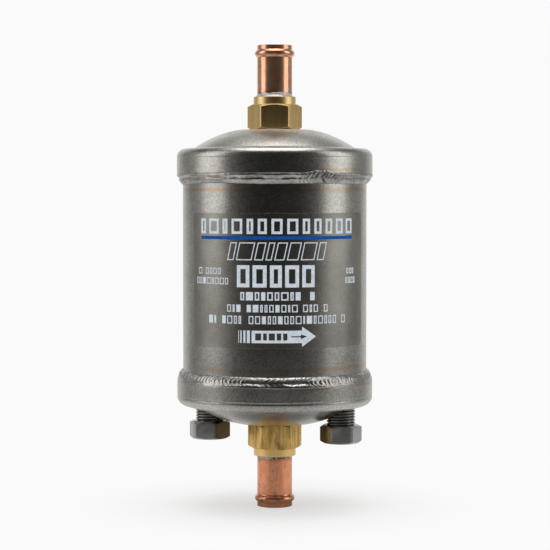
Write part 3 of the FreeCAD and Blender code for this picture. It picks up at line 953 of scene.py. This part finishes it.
# Stub brazes.
# A ring of silver filler runs round each stub on the collar's face. The upper one is thick, uneven and
# bright, and the lower one is thin and half covered by dark flux.
braze_width = 0.9 * MM
top_braze_share = 0.8
low_braze_share = 0.85
braze_silver = (0.66, 0.66, 0.68, 1.0)
braze_flux = (0.10, 0.09, 0.10, 1.0)


def braze_skin(name, flux):
    """Silver filler with patches of dark, glassy flux."""
    material, shader, place = new_finish(name)
    clouds = place.noise(240.0, 3.0, 0.6)
    fine = place.noise(900.0, 3.0, 0.6)
    fluxed = (clouds * 0.7 + fine * 0.3).rise(0.62 - flux, 0.70 - flux)
    fit(shader, Base_Color=mixed(fluxed, braze_silver, braze_flux), Metallic=0.6, Roughness=0.34,
        Normal=bumps(place, (clouds, 0.15 * MM), (fine, 0.04 * MM)))
    return material


def braze_ring(name, height, uneven):
    """A concave fillet between stub and collar whose upper edge creeps up the stub by uneven amounts."""
    rows = 9
    turns = even_turns(220)
    points = []
    for i in range(rows + 1):
        share = i / rows
        for a in turns:
            creep = math.sin(3 * a + 0.6) + 0.7 * math.sin(7 * a + 1.9) + 0.5 * math.sin(12 * a + 0.3)
            tall = height * (1 + uneven * creep / 2.2)
            wide = braze_width * (0.92 + 0.08 * math.sin(5 * a))
            radius = stub_r + wide * (1 - share) ** 2.2
            points.append((radius * math.cos(a), radius * math.sin(a), collar_z - tall * share ** 1.2))
    for a in turns:
        points.append((stub_r * math.cos(a), stub_r * math.sin(a), collar_z))
    return closed_mesh(name, points, ring_faces(rows + 2, len(turns)))


def braze_height(node):
    low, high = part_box(node)
    return high.z - low.z


top_tall = braze_height("top_stub_braze") * top_braze_share
low_tall = braze_height("bottom_stub_braze") * low_braze_share
top_ring = upside_down(braze_ring("top_braze_ring", top_tall, uneven=0.3))
low_ring = braze_ring("bottom_braze_ring", low_tall, uneven=0.25)
top_braze = link("top_braze_ring", top_ring, braze_skin("bright braze", flux=0.09))
low_braze = link("bottom_braze_ring", low_ring, braze_skin("dark braze", flux=0.16))
for piece, node in ((top_braze, "top_stub_braze"), (low_braze, "bottom_stub_braze")):
    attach(piece, "root")
    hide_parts(node)

# Screws.
# Two forged hex-head screws of dark oiled steel turn into the lower cap. Each has a fine thread cut on its
# shank, which is made by a rule, and a head with its corners turned off. Painted shade darkens the side
# towards the adapter and the thread's grooves, and a painted highlight lightens the outermost faces.
screw_head_flats = 13.2 * MM
screw_head_height = 6.5 * MM
screw_head_face_share = 0.95
screw_hex_sharpness = 80.0
screw_low = screw_boxes["right"][0].z
screw_top = screw_boxes["right"][1].z
head_top = screw_low + screw_head_height
head_turn_deg = {"right": 3.2, "left": -9.7}
thread_start = {"right": 0.35, "left": 0.8}
inner_side_shade_r = (23.0 * MM, 20.8 * MM)
outer_face_highlight_r = (29.6 * MM, 30.6 * MM)
groove_shade_r = (screw_thread_r - 0.1 * MM, screw_thread_r - 0.4 * MM)
screw_grey = (0.31, 0.305, 0.30, 1.0)
screw_brown = (0.44, 0.42, 0.39, 1.0)
screw_painted_shade = (0.088, 0.090, 0.098, 1.0)
screw_painted_highlight = (0.66, 0.66, 0.63, 1.0)
thread_sizes = {
    "Around": 72, "Rows": 120, "Radius": screw_thread_r, "Low": head_top - 0.4 * MM, "High": screw_top,
    "Pitch": 1.03 * MM, "Depth": 0.62 * MM, "Tip": 0.8 * MM, "Start": 0.0, "Centre X": 0.0, "Centre Y": 0.0,
}
thread_tree, given = new_recipe("screw thread", thread_sizes)
length = given["High"] - given["Low"]
rod = given["Around"].node("GeometryNodeMeshCylinder", values={
    "Vertices": given["Around"], "Side Segments": given["Rows"], "Fill Segments": 1,
    "Radius": 1.0, "Depth": 1.0})
rod_x, rod_y, rod_z = rod.node("GeometryNodeInputPosition").xyz()
climb = (rod_z + 0.5) * length
step = climb / given["Pitch"] - rod_y.maths("ARCTAN2", rod_x) / math.tau + given["Start"]
tooth = (step.maths("FRACT") * 2.0 - 1.0).size()
groove = (tooth * 1.25 - 0.20).maths("MAXIMUM", 0.0).maths("MINIMUM", 0.96)
tip = (climb - (length - given["Tip"])).maths("MAXIMUM", 0.0)
thread_r = given["Radius"] - groove * given["Depth"] - tip
thread_x = rod_x * thread_r + given["Centre X"]
thread_y = rod_y * thread_r + given["Centre Y"]
threaded = placed(rod, thread_x, thread_y, given["Low"] + climb)
end_recipe(thread_tree, threaded, given["Material"])


def screw_skin(name):
    """Black-oiled steel, worn to brown and grey, with painted shade on the side towards the adapter and in
    the thread's grooves, and a painted highlight on its outermost faces.
    """
    material, shader, place = new_finish(name)
    clouds = place.noise(190.0, 4.0, 0.6)
    fine = place.noise(1500.0, 3.0, 0.6)
    colour = mixed(clouds.rise(0.40, 0.62), screw_grey, screw_brown)
    x, y, z = place.xyz()
    from_axis = x.distance(y)
    # Painted shade: darker on the side of each screw that faces the adapter.
    inner_side_shade = from_axis.rise(*inner_side_shade_r) * 0.88
    side = x.maths("SIGN")
    from_screw = (x * side - screw_places["right"][0]).distance(y * side - screw_places["right"][1])
    # Painted shade: darker in the thread's grooves, inside the crests.
    groove_shade = from_screw.rise(*groove_shade_r) * z.over(head_top)
    colour = mixed(inner_side_shade.maths("MAXIMUM", groove_shade * 0.85), colour, screw_painted_shade)
    # Painted highlight: lighter on the screws' outermost faces, away from the vessel's axis.
    colour = mixed(from_axis.rise(*outer_face_highlight_r) * 0.8, colour, screw_painted_highlight)
    fit(shader, Base_Color=colour, Metallic=1.0, Roughness=0.24 + clouds * 0.10,
        Normal=bumps(place, (clouds, 0.05 * MM), (fine, 0.015 * MM)))
    return material


def joined_mesh(name, meshes, material):
    """Several meshes of one piece in one mesh."""
    work = bmesh.new()
    for mesh in meshes:
        work.from_mesh(mesh)
    whole = bpy.data.meshes.new(name)
    work.to_mesh(whole)
    work.free()
    whole.materials.append(material)
    whole.polygons.foreach_set("material_index", [0] * len(whole.polygons))
    return whole


screw_steel = screw_skin("screw steel with painted light")
for side, place in screw_places.items():
    head = hex_prism(Outline(0, screw_low), screw_head_flats, screw_low, head_top, screw_head_face_share)
    head.line(0, head_top)
    head_clip = hex_clip(screw_head_flats, screw_hex_sharpness)
    head_mesh = turned("head", eased(head.points, 0.08 * MM), hex_turns(32), head_clip)
    head_turn = Matrix.Rotation(math.radians(head_turn_deg[side]), 4, "Z")
    head_mesh.transform(Matrix.Translation((*place, 0)) @ head_turn)
    thread_mesh = outwards(grown("thread", thread_tree, screw_steel, Centre_X=place[0], Centre_Y=place[1],
                                 Start=thread_start[side]))
    screw_mesh = joined_mesh(f"{side}_hex_screw", [head_mesh, thread_mesh], screw_steel)
    screw = link(f"{side}_hex_screw", screw_mesh)
    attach(screw, "root")
    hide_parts(f"screw_{side}")

# Label.
# A thin dark film with rounded corners is wrapped round the front of the shell and stuck to it, so that the
# satin steel shows through.
film_low, film_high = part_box("label")
film_r = shell_r + 0.15 * MM
film_arc = 73.5 * MM
film_centre = math.radians(-90 + 4.2)
film_corner = 2.2 * MM
film_light = (0.45, 0.432, 0.385, 1.0)
film_dark = (0.31, 0.298, 0.262, 1.0)


def label_skin():
    """Clear film over the satin steel: a little darker than the bare shell, with faint wrinkles."""
    material, shader, place = new_finish("label film")
    clouds = place.noise(90.0, 4.0, 0.6)
    speckle = place.noise(2200.0, 2.0, 0.6)
    colour = mixed((clouds * 0.5 + speckle * 0.5).rise(0.35, 0.65), film_dark, film_light)
    fit(shader, Base_Color=colour, Metallic=1.0, Roughness=0.32 + clouds * 0.05 + speckle * 0.04,
        Normal=bumps(place, (clouds, 0.03 * MM), (speckle, 0.020 * MM)))
    return material


def film_mesh(name, low, high, columns=120, rows=40):
    """A thin sheet bent round the shell, with rounded corners."""
    points = []
    heights = []
    for i in range(rows + 1):
        heights.append(low + (high - low) * 0.5 * (1 - math.cos(math.pi * i / rows)))
    for radius in (film_r, shell_r):
        for height in heights:
            inside = max(0.0, film_corner - min(height - low, high - height))
            reach = film_arc / 2 - film_corner + math.sqrt(max(film_corner ** 2 - inside ** 2, 0.0))
            for j in range(columns + 1):
                angle = film_centre + (2 * j / columns - 1) * reach / shell_r
                points.append((radius * math.cos(angle), radius * math.sin(angle), height))
    wide = columns + 1
    layer = wide * (rows + 1)
    faces = []
    for i in range(rows):
        for j in range(columns):
            a = i * wide + j
            faces.append((a, a + 1, a + wide + 1, a + wide))
            faces.append((layer + a, layer + a + wide, layer + a + wide + 1, layer + a + 1))
    rim = list(range(wide)) + [i * wide + columns for i in range(1, rows + 1)]
    rim += [rows * wide + j for j in range(columns - 1, -1, -1)]
    rim += [i * wide for i in range(rows - 1, 0, -1)]
    for k, a in enumerate(rim):
        b = rim[(k + 1) % len(rim)]
        faces.append((a, layer + a, layer + b, b))
    return closed_mesh(name, points, faces)


film = link("label_sheet", film_mesh("label_sheet", film_low.z, film_high.z), label_skin())
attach(film, "root")
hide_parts("label")

# Label print.
# The film is screen-printed in pale blue-grey ink with rows of plain blocks, solid or in outline, and has a
# blue rule under the first row. Below them is the flow arrow, which points to the right, with four bars for
# its tail and black marks on its shaft.
ink_depth = 0.01 * MM
mark_lift = 0.03 * MM
print_sizes = {
    "From": -10 * MM, "To": 10 * MM, "Base": 0.0, "Tall": 3 * MM, "Count": 8, "Gap": 0.5 * MM,
    "Uneven": 0.3, "Slant": 0.0, "Stroke": 0.4 * MM, "Hollow": 0.0, "Skip": 0.0, "Taper": 0.0,
    "Bend Steps": 1, "Radius": film_r - ink_depth, "Thickness": 0.03 * MM, "Seed": 1,
}
print_tree, given = new_recipe("print row", print_sizes)
columns = given["Count"] * 6.0
cells = given["Count"].node("GeometryNodeMeshGrid", values={
    "Size X": 1.0, "Size Y": 1.0, "Vertices X": columns, "Vertices Y": 4})
cell_x, cell_y, _ = cells.node("GeometryNodeInputPosition").xyz()
column = (cell_x + 0.5) * (columns - 1.0)
level = (cell_y + 0.5) * 3.0
block = ((column + 0.25) / 6.0).maths("FLOOR")
step = column - block * 6.0


def chance(number, seed):
    """A fixed random number from 0 to 1 for each block."""
    return number.node("FunctionNodeRandomValue", {"data_type": "FLOAT"},
                       {2: 0.0, 3: 1.0, 7: number, 8: seed}, 1)


def block_edge(number):
    """Where a block starts, as a share of the row. Only the edges between blocks are uneven."""
    between = number.over(0.5) * (given["Count"] - number).over(0.5)
    return (number + (chance(number, given["Seed"]) - 0.5) * given["Uneven"] * between) / given["Count"]


def across_block(place, last, size):
    """A block's own coordinate, which gives its two outer cells the stroke's width."""
    inner = given["Stroke"] + (size - given["Stroke"] * 2.0) * (place - 1.0) / (last - 2.0)
    at_end = place.over(last - 0.5)
    return place.over(0.5) * (1.0 - at_end) * inner + at_end * size


gap_cell = step.over(5.25)
centre_cell = step.over(1.0) * (1.0 - step.over(4.0)) * level.over(1.0) * (1.0 - level.over(2.0))
hollowed = given["Hollow"].over(chance(block, given["Seed"] + 20.0))
skipped = given["Skip"].over(chance(block, given["Seed"] + 50.0))
hole = gap_cell.maths("MAXIMUM", centre_cell * hollowed).maths("MAXIMUM", skipped)
blocks = cells.node("GeometryNodeDeleteGeometry", {"domain": "FACE"}, {
    "Geometry": cells, "Selection": hole})
span = given["To"] - given["From"] + given["Gap"]
left = span * block_edge(block)
right = span * block_edge(block + 1.0) - given["Gap"]
flat_x = left + across_block(step, 5.0, right - left)
flat_y = across_block(level, 3.0, given["Tall"])
off_line = flat_y - given["Tall"] / 2.0
flat_y = given["Tall"] / 2.0 + off_line * (1.0 - given["Taper"] * flat_x / span)
flat_x = flat_x + off_line * given["Slant"]
flat = placed(blocks, given["From"] + flat_x, flat_y)
fine = flat.node("GeometryNodeSubdivideMesh", values={"Mesh": flat, "Level": given["Bend Steps"]})
along, rise, _ = fine.node("GeometryNodeInputPosition").xyz()
turn = along / given["Radius"]
wrap_x = turn.maths("SINE") * given["Radius"]
wrap_y = turn.maths("COSINE") * given["Radius"] * -1.0
wrapped = placed(fine, wrap_x, wrap_y, given["Base"] + rise)
raised = wrapped.node("GeometryNodeExtrudeMesh", {"mode": "FACES"}, {
    "Mesh": wrapped, "Offset Scale": given["Thickness"], "Individual": False})
backs = wrapped.node("GeometryNodeFlipFaces", values={"Mesh": wrapped})
closed = raised.node("GeometryNodeJoinGeometry", values={"Geometry": [raised, backs]})
printed = closed.node("GeometryNodeMergeByDistance", values={"Geometry": closed, "Distance": 1e-6})
end_recipe(print_tree, printed, given["Material"])


def ink_skin(name, colour, faded, shine):
    """Printing ink, a little thin and uneven where the steel shows through."""
    material, shader, place = new_finish(name)
    clouds = place.noise(900.0, 3.0, 0.6)
    fit(shader, Base_Color=mixed(clouds.rise(0.35, 0.65), faded, colour), Roughness=0.42 + clouds * 0.1,
        Specular_IOR_Level=shine, Normal=bumps(place, (clouds, 0.006 * MM)))
    return material


pale_ink = ink_skin("pale ink", (0.72, 0.785, 0.86, 1.0), (0.60, 0.665, 0.74, 1.0), shine=0.25)
blue_ink = ink_skin("blue ink", (0.003, 0.085, 0.40, 1.0), (0.003, 0.070, 0.32, 1.0), shine=0.08)
black_ink = ink_skin("black ink", (0.035, 0.035, 0.038, 1.0), (0.05, 0.05, 0.05, 1.0), shine=0.25)
arrow_band = (2.0, 4.35)
arrow_tails = ((-12.95, -12.7, 0.05), (-12.2, -11.7, 0.1), (-11.1, -10.3, 0.2), (-9.8, -8.7, 0.2))
pale_rows = [
    ("top_row", -29.4, 31.5, 39.8, 5.3, dict(
        Count=13, Gap=1.6 * MM, Uneven=0.35, Stroke=0.9 * MM, Hollow=0.95, Bend_Steps=2, Seed=4)),
    ("outline_row", -16.6, 18.5, 30.7, 6.2, dict(
        Count=8, Gap=0.9 * MM, Uneven=0.5, Slant=0.22, Stroke=0.36 * MM, Hollow=1.0, Bend_Steps=2, Seed=9)),
    ("large_row", -13.5, 14.3, 21.3, 7.7, dict(
        Count=5, Gap=1.1 * MM, Uneven=0.2, Stroke=1.35 * MM, Hollow=0.85, Bend_Steps=2, Seed=2)),
    ("left_row_high", -30.8, -18.2, 25.7, 2.2, dict(
        Count=7, Uneven=0.5, Stroke=0.32 * MM, Hollow=0.8, Skip=0.15, Seed=5)),
    ("left_row_low", -31.9, -16.9, 22.2, 2.3, dict(
        Count=8, Uneven=0.5, Stroke=0.32 * MM, Hollow=0.8, Seed=7)),
    ("right_row_high", 28.4, 32.6, 25.7, 2.0, dict(
        Count=3, Gap=0.4 * MM, Uneven=0.2, Stroke=0.35 * MM, Hollow=1.0, Seed=3)),
    ("right_row_low", 27.9, 33.6, 22.3, 2.2, dict(
        Count=4, Gap=0.4 * MM, Uneven=0.2, Stroke=0.35 * MM, Hollow=1.0, Seed=6)),
    ("small_row_high", -12.2, 14.3, 16.8, 2.9, dict(
        Count=11, Gap=0.6 * MM, Uneven=0.4, Stroke=0.5 * MM, Hollow=0.6, Skip=0.08, Seed=12)),
    ("small_row_middle", -17.3, 19.5, 12.7, 2.6, dict(
        Count=19, Gap=0.6 * MM, Uneven=0.5, Stroke=0.38 * MM, Hollow=0.8, Skip=0.18, Seed=21)),
    ("small_row_low", -25.3, 27.6, 8.6, 2.8, dict(
        Count=26, Gap=0.6 * MM, Uneven=0.5, Stroke=0.38 * MM, Hollow=0.8, Skip=0.16, Seed=33)),
]
for start, end, stroke in arrow_tails:
    pale_rows.append(("arrow_tail", start, end, *arrow_band, dict(Count=1, Gap=0.0, Stroke=stroke * MM)))
pale_rows += [
    ("arrow_shaft", -8.1, 9.6, *arrow_band, dict(Count=6, Gap=0.0, Uneven=0.0)),
    ("arrow_head", 9.6, 14.8, 0.7, 7.0, dict(Count=1, Gap=0.0, Taper=1.0, Bend_Steps=2)),
]
blue_rows = [("rule", -29.4, 31.7, 37.88, 1.15, dict(Count=24, Gap=0.0, Uneven=0.0, Bend_Steps=0))]
black_rows = [
    ("shaft_marks", -6.8, 4.4, 3.0, 2.4, dict(Count=5, Gap=0.7 * MM, Uneven=0.4, Seed=14)),
    ("shaft_line", 5.8, 10.0, 4.02, 0.4, dict(Count=3, Gap=0.0, Uneven=0.0, Stroke=0.1 * MM, Bend_Steps=0)),
    ("shaft_point", 9.2, 11.4, 3.4, 1.65, dict(Count=1, Gap=0.0, Taper=1.0, Stroke=0.2 * MM)),
]


def printed_row(name, start, end, foot, tall, extra, ink, lift):
    """The mesh of one row: its place and size are in millimetres along the film and above its foot."""
    return outwards(grown(name, print_tree, ink, From=start * MM, To=end * MM, Tall=tall * MM,
                          Base=film_low.z + foot * MM, Radius=film_r - ink_depth + lift, **extra))


for name, ink, rows, lift in (("label_print", pale_ink, pale_rows, 0.0),
                              ("label_rule", blue_ink, blue_rows, 0.0),
                              ("label_marks", black_ink, black_rows, mark_lift)):
    layer = link(name, joined_mesh(name, [printed_row(*row, ink, lift) for row in rows], ink))
    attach(layer, "root")

# Inside pieces.
# Behind the shell and caps are the support plate with its screen, fibre pad and felt ring, the moulded
# desiccant block, the follower and its spring, the screws' bosses and the adapters' inner brazes. Each is
# the part's own solid, and gets a worked finish of its own.
plate_finish = ((0.55, 0.54, 0.52, 1.0), 1.0, 0.38)
boss_finish = ((0.52, 0.51, 0.49, 1.0), 1.0, 0.40)
fillet_finish = ((0.80, 0.78, 0.74, 1.0), 0.9, 0.35)
inner_finishes = {
    "support_plate": plate_finish,
    "outlet_screen": ((0.62, 0.61, 0.59, 1.0), 1.0, 0.30),
    "filter_pad": ((0.78, 0.76, 0.70, 1.0), 0.0, 0.95),
    "core_gasket": ((0.30, 0.29, 0.27, 1.0), 0.0, 0.95),
    "desiccant_core": ((0.62, 0.50, 0.40, 1.0), 0.0, 0.85),
    "core_follower": plate_finish,
    "core_spring": ((0.50, 0.49, 0.48, 1.0), 1.0, 0.28),
    "screw_boss_left": boss_finish,
    "screw_boss_right": boss_finish,
    "top_fitting_braze": fillet_finish,
    "bottom_fitting_braze": fillet_finish,
}
for node, (colour, metal, rough) in inner_finishes.items():
    material, shader, place = new_finish(node.replace("_", " "))
    clouds = place.noise(400.0, 4.0, 0.6)
    dark = tuple(0.75 * part for part in colour[:3]) + (1.0,)
    fit(shader, Base_Color=mixed(clouds.rise(0.35, 0.65), dark, colour), Metallic=metal,
        Roughness=rough + (clouds - 0.5) * 0.1, Normal=bumps(place, (clouds, 0.05 * MM)))
    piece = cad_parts[node]
    piece.data.materials.clear()
    piece.data.materials.append(material)

low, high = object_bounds()
